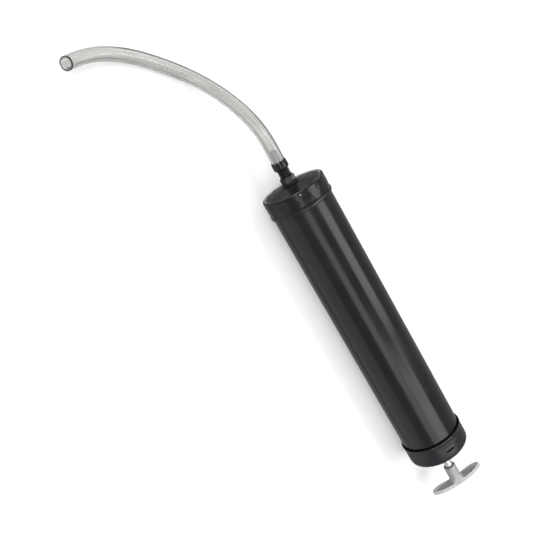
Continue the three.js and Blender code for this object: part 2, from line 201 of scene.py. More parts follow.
# %% [markdown]
# ## The hose
# The hose is clear vinyl, 11 mm outside and 8 mm inside, pushed on to the barb. It leaves the
# nozzle straight, sags to the floor and lies there in one loose bend to a cut end. A curve
# with a round bevel makes it in one go: the curve is its middle line. It becomes a mesh so
# that its end can be cut on a slant, as scissors leave it, and so that Solidify can give it
# a true wall for light to bend in.

# %% Hose route
HOSE_DIAMETER = 0.011
HOSE_WALL = 0.0015
HOSE_ROUTE_MM = [
    (158.7, 0, 27.4), (166, -0.3, 27.4), (173.5, -0.6, 27.4), (181.4, -0.5, 27.3),
    (189.3, -0.1, 26.7), (196.8, 0.3, 25.2), (204.2, 1.1, 23), (211.5, 2.1, 20.4),
    (218.5, 3.5, 17.5), (225.5, 5.3, 14.6), (232.3, 7.6, 11.9), (239, 10.5, 9.5),
    (245.6, 14.1, 7.6), (252, 18.3, 6.3), (258.2, 23.1, 5.7), (264.3, 28.5, 5.6),
    (270.2, 34.1, 5.6), (276, 39.9, 5.6), (281.5, 45.8, 5.6), (286.7, 51.9, 5.6),
    (291.5, 58.3, 5.6), (295.8, 64.9, 5.6), (299.6, 71.8, 5.6), (302.7, 79.2, 5.6),
    (305, 86.9, 5.6), (306.5, 94.8, 5.6), (307.4, 104, 5.6),
]
HOSE_ROUTE = [Vector(point) * MM for point in HOSE_ROUTE_MM]
HOSE_STEPS_BETWEEN = 6


def smooth_route(points, steps):
    """Points on the smooth line through the given ones, steps to each stretch."""
    ends = [2 * points[0] - points[1], *points, 2 * points[-1] - points[-2]]
    line = []
    for before, start, end, after in zip(ends, ends[1:], ends[2:], ends[3:]):
        for step in range(steps):
            t = step / steps
            pull = 2 * start + (end - before) * t
            pull += (2 * before - 5 * start + 4 * end - after) * t**2
            pull += (3 * start - before - 3 * end + after) * t**3
            line.append(pull / 2)
    return [*line, points[-1]]


hose_line = smooth_route(HOSE_ROUTE, HOSE_STEPS_BETWEEN)

# %% Hose tube
HOSE_SECTION_STEPS = 14
HOSE_CUT_DEGREES = 21

hose_curve = bpy.data.curves.new("hose_tube", "CURVE")
hose_curve.dimensions = "3D"
hose_curve.bevel_depth = HOSE_DIAMETER / 2
hose_curve.bevel_resolution = HOSE_SECTION_STEPS
hose_spline = hose_curve.splines.new("POLY")
hose_spline.points.add(len(hose_line) - 1)
for spline_point, where in zip(hose_spline.points, hose_line):
    spline_point.co = (*where, 1)
hose = bpy.data.objects.new("hose_tube", hose_curve)
bpy.context.scene.collection.objects.link(hose)
select_only(hose)
bpy.ops.object.convert(target="MESH")
hose = bpy.context.object

rings = len(hose_line)
around = len(hose.data.vertices) // rings
for layer in list(hose.data.uv_layers):
    hose.data.uv_layers.remove(layer)
hose_map = hose.data.uv_layers.new(name="along_and_around")
for face in hose.data.polygons:
    steps_round = [hose.data.vertices[v].index % around for v in face.vertices]
    crosses_seam = max(steps_round) - min(steps_round) > around / 2
    for loop in face.loop_indices:
        vertex = hose.data.loops[loop].vertex_index
        step_round = vertex % around
        if crosses_seam and step_round < around / 2:
            step_round += around
        hose_map.data[loop].uv = ((vertex // around) / rings, step_round / around)
print("hose section", around, "points,", rings, "rings")

# %% [markdown]
# The slanted end is a bisect: a plane through the last of the hose keeps what lies behind
# it. The plane leans so that the opening looks a little upwards. Solidify comes after the
# cut, so the cut shows the thickness of the wall.

# %% Hose end and wall
hose_end = hose_line[-1]
hose_end_run = (hose_line[-1] - hose_line[-4]).normalized()
side_of_end = hose_end_run.cross(Vector((0, 0, 1))).normalized()
lean = Matrix.Rotation(radians(HOSE_CUT_DEGREES), 3, side_of_end)
cut_normal = lean @ hose_end_run
cut_back = HOSE_DIAMETER / 2 * sin(radians(HOSE_CUT_DEGREES))
cut_point = hose_end - hose_end_run * cut_back

select_only(hose)
bpy.ops.object.mode_set(mode="EDIT")
bpy.ops.mesh.select_all(action="SELECT")
bpy.ops.mesh.normals_make_consistent(inside=False)
bpy.ops.mesh.bisect(
    plane_co=cut_point, plane_no=cut_normal, clear_outer=True,
)
bpy.ops.object.mode_set(mode="OBJECT")
apply_modifier(hose, "SOLIDIFY", thickness=HOSE_WALL, offset=-1, use_rim=True)
settle(hose)
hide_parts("hose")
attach(hose, "barrel")
report(hose)

# %% [markdown]
# ## Turning
# A lathe shapes a piece from one outline swept round an axis, and so does Spin. Each outline
# is drawn point by point with Extrude, its corners are rounded with a vertex bevel, and Spin
# carries it round. Screw or a bevelled circle would also do, but an outline that is drawn
# first keeps every lip, bead and wall in one readable list. A third number on an outline
# point is how far back its corner starts to round.

# %% Turning helper
LARGE_SIDES = 192
SMALL_SIDES = 96
ROUND_STEPS = 5
MERGE = 2e-6


def draw_outline(name, points, closed):
    bpy.ops.object.select_all(action="DESELECT")
    bpy.ops.mesh.primitive_plane_add(size=MM, location=points[0])
    piece = bpy.context.object
    piece.name = name
    piece.data.name = name
    bpy.ops.object.transform_apply(location=True)
    bpy.ops.object.mode_set(mode="EDIT")
    bpy.ops.mesh.select_all(action="SELECT")
    bpy.ops.mesh.merge(type="CENTER")
    following = points[1:] + points[:1] if closed else points[1:]
    for start, end in zip(points, following):
        bpy.ops.mesh.extrude_vertices_move(TRANSFORM_OT_translate={"value": end - start})
    bpy.ops.mesh.select_all(action="SELECT")
    bpy.ops.mesh.remove_doubles(threshold=MERGE)
    return piece


def round_corner(piece, corner, reach, steps):
    pick(piece, lambda vertex: (vertex.co - corner).length < MERGE)
    bpy.ops.mesh.bevel(
        offset=reach * MM, segments=steps, affect="VERTICES", clamp_overlap=False,
    )


def turn(name, outline, sides=SMALL_SIDES, steps=ROUND_STEPS):
    """A turned piece from (radius, station) or (radius, station, rounding) in millimetres."""
    corners = [place(*entry[:2]) for entry in outline]
    piece = draw_outline(name, corners, closed=outline[0][0] > 0)
    for entry, corner in zip(outline, corners):
        if len(entry) > 2:
            round_corner(piece, corner, entry[2], steps)
    bpy.ops.mesh.select_mode(type="VERT")
    bpy.ops.mesh.select_all(action="SELECT")
    bpy.ops.mesh.spin(steps=sides, angle=2 * pi, center=(RIM_X, 0, AXIS_Z), axis=(1, 0, 0))
    bpy.ops.mesh.select_all(action="SELECT")
    bpy.ops.mesh.remove_doubles(threshold=MERGE)
    bpy.ops.mesh.normals_make_consistent(inside=False)
    bpy.ops.object.mode_set(mode="OBJECT")
    return settle(piece)


def fit(piece, node, body):
    """The piece stands for a node of the mechanism and moves with its body."""
    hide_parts(node)
    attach(piece, body)
    return report(piece)


# %% [markdown]
# ## The barrel
# A drawn steel tube with its ends dressed round. Where the front cap is pressed on to it, it
# carries the same shallow groove, and at the rear it is necked a little, so that the cap's
# flared edge stands clear of it and throws a dark line round the barrel.

# %% Barrel tube
BARREL_RADIUS = 26
BORE_RADIUS = 24.8
CRIMP_DEPTH = 0.12
FRONT_CRIMP = (11.3, 12.5)
NECK_START = 250.6
NECKED_RADIUS = 25.6


def crimp(radius, start, end):
    """Outline points of a shallow groove between two stations."""
    low = radius - CRIMP_DEPTH
    return [(radius, start - 1, 0.4), (low, start, 0.4), (low, end, 0.4), (radius, end + 1, 0.4)]


tube_front, tube_rear = stations("barrel_tube")
barrel_tube = turn(
    "barrel_shell",
    [
        (BARREL_RADIUS, tube_front, 0.35), *crimp(BARREL_RADIUS, *FRONT_CRIMP),
        (BARREL_RADIUS, 80), (BARREL_RADIUS, 140), (BARREL_RADIUS, 200),
        (BARREL_RADIUS, NECK_START, 0.4), (NECKED_RADIUS, NECK_START + 0.9, 0.4),
        (NECKED_RADIUS, tube_rear, 0.35),
        (BORE_RADIUS, tube_rear, 0.35), (BORE_RADIUS, tube_front, 0.35),
    ],
    LARGE_SIDES,
)
fit(barrel_tube, "barrel_tube", "barrel")

# %% [markdown]
# ## Cutting
# Slots, punch marks and bores are cut with other solids, as a tool would. Boolean does the
# cut, and the cutter is thrown away.

# %% Cutting helpers
def combine(piece, tools, operation="DIFFERENCE"):
    for tool in tools:
        apply_modifier(piece, "BOOLEAN", operation=operation, object=tool, solver="EXACT")
        bpy.data.objects.remove(tool)
    return settle(piece)


def block(radius, station, degrees, along, around_axis, deep):
    """A block cutter centred on a radius and a station, turned round the axis."""
    bpy.ops.object.select_all(action="DESELECT")
    bpy.ops.mesh.primitive_cube_add(
        size=MM, location=place(radius, station, degrees), rotation=(-radians(degrees), 0, 0),
        scale=(along, around_axis, deep),
    )
    return bpy.context.object


def ball(radius, station, degrees, size):
    bpy.ops.object.select_all(action="DESELECT")
    bpy.ops.mesh.primitive_uv_sphere_add(
        segments=32, ring_count=16, radius=size * MM, location=place(radius, station, degrees),
    )
    return bpy.context.object


# %% [markdown]
# ## The front cap
# Pressed from sheet: a skirt with a rolled bead at its open edge, a lip rolled over the rim, a
# shallow dish inside it and a raised centre where the nozzle is clamped. The press left a
# punch mark near the lip and a fainter one on the crimp, in three places round the skirt. A
# small burr stands in each mark near the lip. Marks are cut with a ball, because it leaves the
# round hollow that a punch does, and smaller balls joined on are the burrs.

# %% Front cap
CAP_RADIUS = 27.1
CAP_INSIDE = 26.3
BEAD_RADIUS = AXIS_Z / MM
PINCH_RADIUS = 26.85
CAP_HOLE = 5.0
PUNCH_FIRST_DEGREES = 28.7
PUNCH_STATION = 2.6
PUNCH_SIZE = 2.0
CRIMP_PUNCH_STATION = 11.9
CRIMP_PUNCH_SIZE = 1.5
BURR_STATION = 2.7
BURR_SIZE = 0.8

front_cap = turn(
    "front_cap_pressing",
    [
        (CAP_HOLE, -2.4, 0.15), (9.0, -2.4, 0.9), (21.8, 0.75, 1.5), (23.7, 0.85, 0.8),
        (25.3, 0.0, 0.5), (26.3, 0.0, 0.6), (CAP_RADIUS, 0.95, 0.6),
        (CAP_RADIUS, 9.4, 0.8), (PINCH_RADIUS, 11.3, 0.5), (PINCH_RADIUS, 12.5, 0.5),
        (BEAD_RADIUS, 14.1, 0.65), (BEAD_RADIUS, 15.9, 0.5), (27.05, 16.6, 0.15),
        (CAP_INSIDE + 0.1, 16.6, 0.15), (26.7, 15.5, 0.4), (26.7, 14.6, 0.4),
        (26.1, 12.5, 0.4), (26.1, 11.3, 0.4), (CAP_INSIDE, 9.4, 0.5), (CAP_INSIDE, 1.7, 0.5),
        (22.0, 1.55, 1.8), (9.0, -1.6, 0.8), (CAP_HOLE, -1.6, 0.15),
    ],
    LARGE_SIDES,
)
punches = []
for third in range(3):
    degrees = PUNCH_FIRST_DEGREES + 120 * third
    punches.append(ball(CAP_RADIUS + 1.5, PUNCH_STATION, degrees, PUNCH_SIZE))
    punches.append(ball(PINCH_RADIUS + 1.0, CRIMP_PUNCH_STATION, degrees, CRIMP_PUNCH_SIZE))
combine(front_cap, punches)
burrs = []
for third in range(3):
    degrees = PUNCH_FIRST_DEGREES + 120 * third
    burrs.append(ball(CAP_RADIUS - 0.45, BURR_STATION, degrees, BURR_SIZE))
combine(front_cap, burrs, "UNION")
fit(front_cap, "front_cap", "barrel")

# %% [markdown]
# ## The rear cap
# The same pressing turned round, but its edge is left flared, so a dark gap shows between it
# and the tube. It has a soft corner, a low crown and three slots where tabs lock it. Its
# corner is one outline point with a large rounding.

# %% Rear cap
SLOT_FIRST_DEGREES = 17.7
SLOT_STATION = 262.3
SLOT_WIDE = 1.7
SLOT_LONG = 7.4
SLOT_DEEP = 3.2

rear_cap = turn(
    "rear_cap_pressing",
    [
        (27.45, 252.3, 0.12), (BEAD_RADIUS, 253.9, 0.6), (PINCH_RADIUS, 255.6, 0.5),
        (PINCH_RADIUS, 256.8, 0.5), (CAP_RADIUS, 258.6, 0.7), (CAP_RADIUS, 271.7, 4.4),
        (11.5, 272.9, 1.2), (6.8, 272.9, 0.15), (6.8, 272.1, 0.15), (11.5, 272.1, 1.0),
        (CAP_INSIDE, 270.95, 3.4), (CAP_INSIDE, 258.6, 0.5), (26.1, 256.8, 0.4),
        (26.15, 255.8, 0.4), (26.85, 254.0, 0.5), (27.18, 252.3, 0.1),
    ],
    LARGE_SIDES,
    steps=8,
)
slots = [
    block(
        CAP_RADIUS, SLOT_STATION, SLOT_FIRST_DEGREES + 120 * third, SLOT_WIDE, SLOT_LONG, SLOT_DEEP,
    )
    for third in range(3)
]
combine(rear_cap, slots)
fit(rear_cap, "rear_cap", "barrel")

# %% [markdown]
# ## The nozzle
# One black moulding: a barb for the hose, a ridged neck and a hexagon that seats on a washer.
# The barb and the neck are turned, the hexagon is a six-sided bar whose corners a cone takes
# down, and the two are joined into one body. The oil way is already in the turned outline.

# %% Nozzle outline
OIL_WAY = 1.9
NECK_RADIUS = 4.5
SPIGOT_RADIUS = 4.7
BARB_RADIUS = 3.4
BARB_TOOTH = 0.6
TOOTH_PITCH = 3.6
HEXAGON_FLATS = 11
HEXAGON_FRONT = -9.4
HEXAGON_REAR = -3.8
NECK_FRONT = -18.8
COLLAR_REAR = -16.8
RIDGE_PITCH = 1.75

nozzle_front, nozzle_rear = stations("fitting_body")
teeth = []
for tooth in range(3):
    tip = nozzle_front + TOOTH_PITCH * tooth
    teeth.append((BARB_RADIUS - BARB_TOOTH, tip + 0.02, 0.08))
    teeth.append((BARB_RADIUS, tip + TOOTH_PITCH - 0.6, 0.12))
ridges = []
for ridge in range(4):
    start = COLLAR_REAR + 0.25 + RIDGE_PITCH * ridge
    ridges.append((NECK_RADIUS - 0.4, start, 0.08))
    ridges.append((NECK_RADIUS + 0.6, start + 0.5, 0.1))
    ridges.append((NECK_RADIUS + 0.6, start + 0.85, 0.1))
    ridges.append((NECK_RADIUS - 0.4, start + 1.25, 0.08))
nozzle = turn(
    "nozzle_moulding",
    [
        *teeth, (BARB_RADIUS - BARB_TOOTH, NECK_FRONT - 2.0, 0.1),
        (BARB_RADIUS - BARB_TOOTH, NECK_FRONT, 0.1), (NECK_RADIUS, NECK_FRONT, 0.2), *ridges,
        (NECK_RADIUS, HEXAGON_FRONT - 0.3), (SPIGOT_RADIUS, HEXAGON_REAR - 0.6),
        (SPIGOT_RADIUS, nozzle_rear, 0.3), (OIL_WAY, nozzle_rear, 0.2), (OIL_WAY, nozzle_front, 0.2),
    ],
)

# %% Nozzle hexagon
def hexagon(name, flats, front, rear, hole, ease=0.18):
    """A six-sided bar between two stations, its corners taken down by a cone, with a hole."""
    corner = flats / 2 / cos(pi / 6)
    bpy.ops.object.select_all(action="DESELECT")
    bpy.ops.mesh.primitive_cylinder_add(
        vertices=6, radius=corner * MM, depth=(rear - front) * MM,
        location=place(0, (front + rear) / 2), rotation=(0, pi / 2, 0),
    )
    piece = bpy.context.object
    piece.name = name
    piece.data.name = name
    bpy.ops.transform.rotate(value=pi / 6, orient_axis="X", center_override=place(0, front))
    taken = corner - flats / 2
    outside = corner + 1
    cone = turn(
        "chamfer",
        [
            (hole, front - 0.01), (flats / 2 - 0.1, front - 0.01), (outside, front + 0.6 * (taken + 1)),
            (outside, rear - 0.6 * (taken + 1)), (flats / 2 - 0.1, rear + 0.01), (hole, rear + 0.01),
        ],
    )
    combine(piece, [cone], "INTERSECT")
    apply_modifier(
        piece, "BEVEL", width=ease * MM, segments=2, limit_method="ANGLE", angle_limit=radians(40),
    )
    return settle(piece)


nozzle_hexagon = hexagon(
    "nozzle_hexagon", HEXAGON_FLATS, HEXAGON_FRONT, HEXAGON_REAR, 3.2, ease=0.35,
)
combine(nozzle, [nozzle_hexagon], "UNION")
fit(nozzle, "fitting_body", "barrel")

# %% [markdown]
# ## The collar on the hose
# A short cup screwed over the hose's end, with ten notches round its mouth like a crown. It is
# turned, then notched with ten blocks, and the fresh edges are eased with a bevel.

# %% Hose collar
COLLAR_RADIUS = 6.45
NOTCHES = 10
NOTCH_LONG = 3.2
NOTCH_WIDE = 0.9
NOTCH_DEEP = 2.6

collar_front, collar_rear = stations("hose_collar")
collar = turn(
    "hose_collar_crown",
    [
        (6.2, collar_front, 0.15), (COLLAR_RADIUS, collar_front + 3.0, 0.4),
        (COLLAR_RADIUS, collar_rear - 1.0, 0.3),
        (6.1, collar_rear, 0.2), (4.8, collar_rear, 0.15), (4.8, collar_rear - 2.0, 0.1),
        (5.8, collar_rear - 2.3, 0.1), (5.8, collar_front, 0.15),
    ],
)
notches = [
    block(
        COLLAR_RADIUS, collar_front, 360 / NOTCHES * count, NOTCH_LONG, NOTCH_WIDE, NOTCH_DEEP,
    )
    for count in range(NOTCHES)
]
combine(collar, notches)
apply_modifier(
    collar, "BEVEL", width=0.12 * MM, segments=2, limit_method="ANGLE", angle_limit=radians(50),
)
settle(collar)
fit(collar, "hose_collar", "collar")

# %% [markdown]
# ## What clamps the nozzle
# A rubber washer under the hexagon, and inside the cap a zinc washer and a thin lock nut. A
# rubber gasket seals the cap against the tube's end. All are rings with dressed edges.

# %% Washers, gasket and lock nut
def plain_ring(name, node, inner, outer, rounding, sides=SMALL_SIDES):
    front, rear = stations(node)
    corners = [(outer, front), (outer, rear), (inner, rear), (inner, front)]
    return turn(name, [(*corner, rounding) for corner in corners], sides)


outer_washer = plain_ring("nozzle_washer", "fitting_washer", 5.0, 7.0, 0.25)
fit(outer_washer, "fitting_washer", "barrel")
inner_washer = plain_ring("nozzle_inner_washer", "fitting_inner_washer", 5.0, 7.0, 0.12)
fit(inner_washer, "fitting_inner_washer", "barrel")
gasket = plain_ring("cap_gasket", "front_gasket", 22.6, 26.0, 0.25, LARGE_SIDES)
fit(gasket, "front_gasket", "barrel")
lock_nut = hexagon("nozzle_lock_nut", 14, *stations("fitting_lock_nut"), 5.0)
fit(lock_nut, "fitting_lock_nut", "barrel")

# %% [markdown]
# ## The rod's guide
# A nylon bush stands through the rear cap, held by a spring ring outside and its own flange
# inside. A felt wiper in its mouth keeps the rod clean. The ring is split, so it is turned
# and a block takes out the gap.

# %% Bush, ring and wiper
BUSH_RADIUS = 6.5
FLANGE_RADIUS = 9.5
WIPER_SEAT = 5.4
ROD_HOLE = 3.8
bush_front, bush_rear = stations("rod_bush")
bush = turn(
    "rod_bush_turned",
    [
        (FLANGE_RADIUS, bush_front, 0.2), (FLANGE_RADIUS, bush_front + 1.5, 0.3),
        (BUSH_RADIUS, bush_front + 1.5, 0.2), (BUSH_RADIUS, bush_rear, 0.7),
        (WIPER_SEAT, bush_rear, 0.15), (WIPER_SEAT, bush_rear - 1.8, 0.1),
        (ROD_HOLE, bush_rear - 1.8, 0.1), (ROD_HOLE, bush_front, 0.3),
    ],
)
fit(bush, "rod_bush", "barrel")
retaining_ring = plain_ring("bush_spring_ring", "bush_retaining_ring", 6.8, 8.5, 0.2)
ring_front, ring_rear = stations("bush_retaining_ring")
combine(retaining_ring, [block(8.0, (ring_front + ring_rear) / 2, 200, 3, 1.6, 5)])
fit(retaining_ring, "bush_retaining_ring", "barrel")
wiper = plain_ring("rod_felt_wiper", "rod_wiper", ROD_HOLE, 5.1, 0.25)
fit(wiper, "rod_wiper", "barrel")

# %% [markdown]
# ## The rod
# Bright zinc-plated bar. Its front end is cut down to a thread for the piston's nuts, with a
# relief groove where the thread stops, and both ends are chamfered.

# %% Plunger rod
ROD_RADIUS = 3.5
THREAD_ROOT = 3.0
THREAD_END = 33.0
THREAD_PITCH = 1.0

rod_front, rod_rear = stations("plunger_rod")
thread = []
crest = rod_front + 1.0
while crest < THREAD_END - 1:
    thread.append((ROD_RADIUS, crest))
    thread.append((ROD_RADIUS - 0.45, crest + THREAD_PITCH / 2))
    crest += THREAD_PITCH
rod = turn(
    "plunger_rod_turned",
    [
        (0, rod_front), (2.8, rod_front, 0.15), *thread, (THREAD_ROOT, THREAD_END, 0.2),
        (THREAD_ROOT, THREAD_END + 1.2, 0.2), (ROD_RADIUS, THREAD_END + 1.8, 0.3), (ROD_RADIUS, 120),
        (ROD_RADIUS, 200), (ROD_RADIUS, rod_rear - 0.6, 0.2), (2.9, rod_rear, 0.2), (0, rod_rear),
    ],
)
fit(rod, "plunger_rod", "rod")

# %% [markdown]
# ## The handle
# A light-alloy casting: an oval palm plate with a rim round its dished inner side, and a hub
# that the rod screws into. The plate starts as a filled circle that is squeezed to an oval and
# pulled up to its thickness. Smaller and smaller ovals are pulled out of its faces for the rim
# and the dish, so the tips can be drawn towards the barrel without creasing it.

# %% Handle plate
HANDLE_SPAN = 49.0
HANDLE_WIDTH = 11.0
HANDLE_RIM = 1.4
DISH_DEPTH = 1.25
HANDLE_ARCH = 2.0
HANDLE_DEGREES = 24.5

handle_front, handle_rear = stations("t_handle")
PLATE_FRONT = handle_rear - 3.4
RING_SHRINKS = (0.85, 0.8, 0.7, 0.55)
TIP_SWELL = 1.3


def front_face(face):
    return face.normal.x > 0.9 and len(face.verts) > 8


def pull_in(deeper, along, across):
    """Pull the selected face in, and make it smaller about the plate's middle."""
    bpy.ops.mesh.extrude_region_move(TRANSFORM_OT_translate={"value": (-deeper * MM, 0, 0)})
    bpy.ops.transform.resize(value=(1, along, across), center_override=plate_centre)


bpy.ops.object.select_all(action="DESELECT")
bpy.ops.mesh.primitive_circle_add(
    vertices=128, radius=HANDLE_SPAN / 2 * MM, fill_type="NGON",
    location=place(0, handle_rear), rotation=(0, pi / 2, 0),
)
plate = bpy.context.object
plate.name = "t_handle_casting"
plate.data.name = "t_handle_casting"
bpy.ops.object.transform_apply(location=True, rotation=True)
plate_centre = place(0, handle_rear)
bpy.ops.object.mode_set(mode="EDIT")
bpy.ops.mesh.select_all(action="SELECT")
bpy.ops.transform.resize(
    value=(1, 1, HANDLE_WIDTH / HANDLE_SPAN), center_override=plate_centre,
)
pick(plate, lambda vertex: abs(vertex.co.y) > 0.8 * HANDLE_SPAN / 2 * MM)
bpy.ops.transform.resize(
    value=(1, 1, TIP_SWELL), center_override=plate_centre, use_proportional_edit=True,
    proportional_edit_falloff="SMOOTH", proportional_size=0.4 * HANDLE_SPAN * MM,
)
bpy.ops.mesh.select_all(action="SELECT")
bpy.ops.mesh.extrude_region_move(
    TRANSFORM_OT_translate={"value": ((handle_rear - PLATE_FRONT) * MM, 0, 0)}
)
bpy.ops.mesh.select_all(action="SELECT")
bpy.ops.mesh.normals_make_consistent(inside=False)
pick(plate, front_face, "faces")
pull_in(0, 1 - 2 * HANDLE_RIM / HANDLE_SPAN, 1 - 2 * HANDLE_RIM / HANDLE_WIDTH)
pull_in(DISH_DEPTH, 0.98, 0.93)
for shrink in RING_SHRINKS:
    pull_in(0, shrink, shrink)
pick(plate, lambda face: face.normal.x < -0.9 and len(face.verts) > 8, "faces")
for shrink in (0.86, *RING_SHRINKS):
    pull_in(0, shrink, shrink)
bpy.ops.object.mode_set(mode="OBJECT")
print("plate", len(plate.data.vertices), "points")

# %% [markdown]
# The arch is a proportional move: only the two tips are taken hold of, and the plate follows
# less and less towards its middle. Then the edges are eased, the hub is joined on, and the
# socket for the rod is bored.

# %% Handle arch, hub and socket
half_span = HANDLE_SPAN / 2 * MM
bpy.ops.object.mode_set(mode="EDIT")
pick(plate, lambda vertex: abs(vertex.co.y) > 0.97 * half_span)
bpy.ops.transform.translate(
    value=(HANDLE_ARCH * MM, 0, 0), use_proportional_edit=True,
    proportional_edit_falloff="SMOOTH", proportional_size=0.95 * half_span,
)
bpy.ops.object.mode_set(mode="OBJECT")
apply_modifier(
    plate, "BEVEL", width=0.55 * MM, segments=4, limit_method="ANGLE", angle_limit=radians(48),
)
plate.data.transform(
    Matrix.Translation(plate_centre)
    @ Matrix.Rotation(-radians(HANDLE_DEGREES), 4, "X")
    @ Matrix.Translation(-plate_centre)
)

HUB_RADIUS = 5.2
hub_floor = PLATE_FRONT + DISH_DEPTH
hub = turn(
    "hub",
    [
        (0, handle_front + 1.6), (4.3, handle_front + 1.6, 0.15), (4.3, handle_front, 0.2),
        (HUB_RADIUS, handle_front, 0.4), (HUB_RADIUS + 0.2, hub_floor - 4.5, 2.0),
        (8.0, hub_floor - 0.2), (8.0, hub_floor + 0.6), (0, hub_floor + 0.6),
    ],
)
bpy.ops.object.select_all(action="DESELECT")
bpy.ops.mesh.primitive_cylinder_add(
    vertices=96, radius=HANDLE_SPAN / 2 * MM, depth=40 * MM, location=plate_centre,
    rotation=(0, pi / 2, 0),
)
oval = bpy.context.object
bpy.ops.object.transform_apply(location=False, rotation=True)
oval.scale = (1, 1, (HANDLE_WIDTH - 0.1) / HANDLE_SPAN)
oval.rotation_euler = (-radians(HANDLE_DEGREES), 0, 0)
combine(hub, [oval], "INTERSECT")
rod_hole = turn(
    "rod_hole",
    [
        (0, handle_front), (ROD_HOLE, handle_front), (ROD_HOLE, PLATE_FRONT - 0.05),
        (0, PLATE_FRONT - 0.05),
    ],
)
combine(plate, [hub], "UNION")
combine(plate, [rod_hole])
fit(plate, "t_handle", "rod")

# %% [markdown]
# ## The piston
# Two rubber cups back to back on a nylon core, each backed by a zinc plate, a spring washer and
# a nut. None of it shows while the barrel is whole, yet it is what the syringe is for, so it
# gets the same turned outlines and dressed edges.

# %% Cups, core and plates
CUP_RADIUS = 24.5
CUP_LIP_INSIDE = 22.2
CUP_BASE = 2.2

cup_front, cup_rear = stations("piston_front_cup")
front_cup = turn(
    "piston_front_cup_moulded",
    [
        (CUP_RADIUS, cup_front, 0.25), (CUP_RADIUS - 0.5, cup_rear - CUP_BASE - 1, 0.8),
        (CUP_RADIUS, cup_rear, 0.8), (ROD_HOLE, cup_rear, 0.1), (ROD_HOLE, cup_rear - CUP_BASE, 0.1),
        (CUP_LIP_INSIDE, cup_rear - CUP_BASE, 0.9), (CUP_RADIUS - 0.9, cup_front, 0.2),
    ],
    LARGE_SIDES,
)
fit(front_cup, "piston_front_cup", "piston")
cup_front, cup_rear = stations("piston_rear_cup")
rear_cup = turn(
    "piston_rear_cup_moulded",
    [
        (CUP_RADIUS, cup_front, 0.8), (CUP_RADIUS - 0.5, cup_front + CUP_BASE + 1, 0.8),
        (CUP_RADIUS, cup_rear, 0.25), (CUP_RADIUS - 0.9, cup_rear, 0.2),
        (CUP_LIP_INSIDE, cup_front + CUP_BASE, 0.9), (ROD_HOLE, cup_front + CUP_BASE, 0.1),
        (ROD_HOLE, cup_front, 0.1),
    ],
    LARGE_SIDES,
)
fit(rear_cup, "piston_rear_cup", "piston")
core = plain_ring("piston_core_disc", "piston_core", ROD_HOLE, 22.0, 0.5, LARGE_SIDES)
fit(core, "piston_core", "piston")
for side in ("front", "rear"):
    node = f"piston_{side}_plate"
    backing = plain_ring(f"{node}_pressed", node, ROD_HOLE, 19.0, 0.35, LARGE_SIDES)
    fit(backing, node, "piston")

# %% Nuts and spring washers
NUT_FLATS = 11
for side in ("front", "rear"):
    node = f"piston_{side}_nut"
    nut = hexagon(f"{node}_zinc", NUT_FLATS, *stations(node), ROD_HOLE)
    fit(nut, node, "rod")
    node = f"piston_{side}_lock_washer"
    spring = plain_ring(f"{node}_split", node, ROD_HOLE, 6.1, 0.15)
    washer_front, washer_rear = stations(node)
    combine(spring, [block(5.0, (washer_front + washer_rear) / 2, 0, 3, 0.9, 4)])
    fit(spring, node, "rod")

# %% [markdown]
# ## Finishes
# Every finish starts from one recipe: a shader, patterns that read the piece's own place, and
# three things driven by them, which are a little change of colour, a little change of gloss and
# a fine relief. Image textures would need files, and patterns in space never stretch.

# %% Finish helpers
def new_finish(name, colour, roughness, metallic=0.0, **sockets):
    material = bpy.data.materials.new(name)
    material.use_nodes = True
    shader = material.node_tree.nodes["Principled BSDF"]
    shader.inputs["Base Color"].default_value = (*colour, 1)
    shader.inputs["Roughness"].default_value = roughness
    shader.inputs["Metallic"].default_value = metallic
    for socket, value in sockets.items():
        shader.inputs[socket.replace("_", " ")].default_value = value
    return material


def node_of(material, kind, **settings):
    node = material.node_tree.nodes.new(kind)
    for setting, value in settings.items():
        if setting in node.inputs:
            node.inputs[setting].default_value = value
        else:
            setattr(node, setting, value)
    return node


def link(material, start, end):
    material.node_tree.links.new(start, end)


def own_place(material, stretch=(1, 1, 1)):
    """Where a point is on its own piece, stretched, for a pattern to read."""
    where = node_of(material, "ShaderNodeTexCoord")
    mapping = node_of(material, "ShaderNodeMapping")
    mapping.inputs["Scale"].default_value = stretch
    link(material, where.outputs["Object"], mapping.inputs["Vector"])
    return mapping.outputs["Vector"]


def noise(material, scale, detail=3.0, stretch=(1, 1, 1)):
    pattern = node_of(material, "ShaderNodeTexNoise", Scale=scale, Detail=detail)
    link(material, own_place(material, stretch), pattern.inputs["Vector"])
    return pattern.outputs["Fac"]


def spread(material, value, low, high, to_low, to_high):
    """Stretch part of a pattern's range over another range."""
    remap = node_of(material, "ShaderNodeMapRange")
    for socket, number in zip(("From Min", "From Max", "To Min", "To Max"), (low, high, to_low, to_high)):
        remap.inputs[socket].default_value = number
    link(material, value, remap.inputs["Value"])
    return remap.outputs["Result"]


def blend_colours(material, factor, first, second):
    mix = node_of(material, "ShaderNodeMix", data_type="RGBA")
    link(material, factor, mix.inputs["Factor"])
    for socket, colour in ((mix.inputs[6], first), (mix.inputs[7], second)):
        if isinstance(colour, tuple):
            socket.default_value = (*colour, 1)
        else:
            link(material, colour, socket)
    return mix.outputs[2]


def combine_values(material, operation, first, second):
    sum_node = node_of(material, "ShaderNodeMath", operation=operation)
    for socket, value in zip(sum_node.inputs, (first, second)):
        if isinstance(value, (int, float)):
            socket.default_value = value
        else:
            link(material, value, socket)
    return sum_node.outputs[0]


def drive(material, socket, value):
    link(material, value, material.node_tree.nodes["Principled BSDF"].inputs[socket])


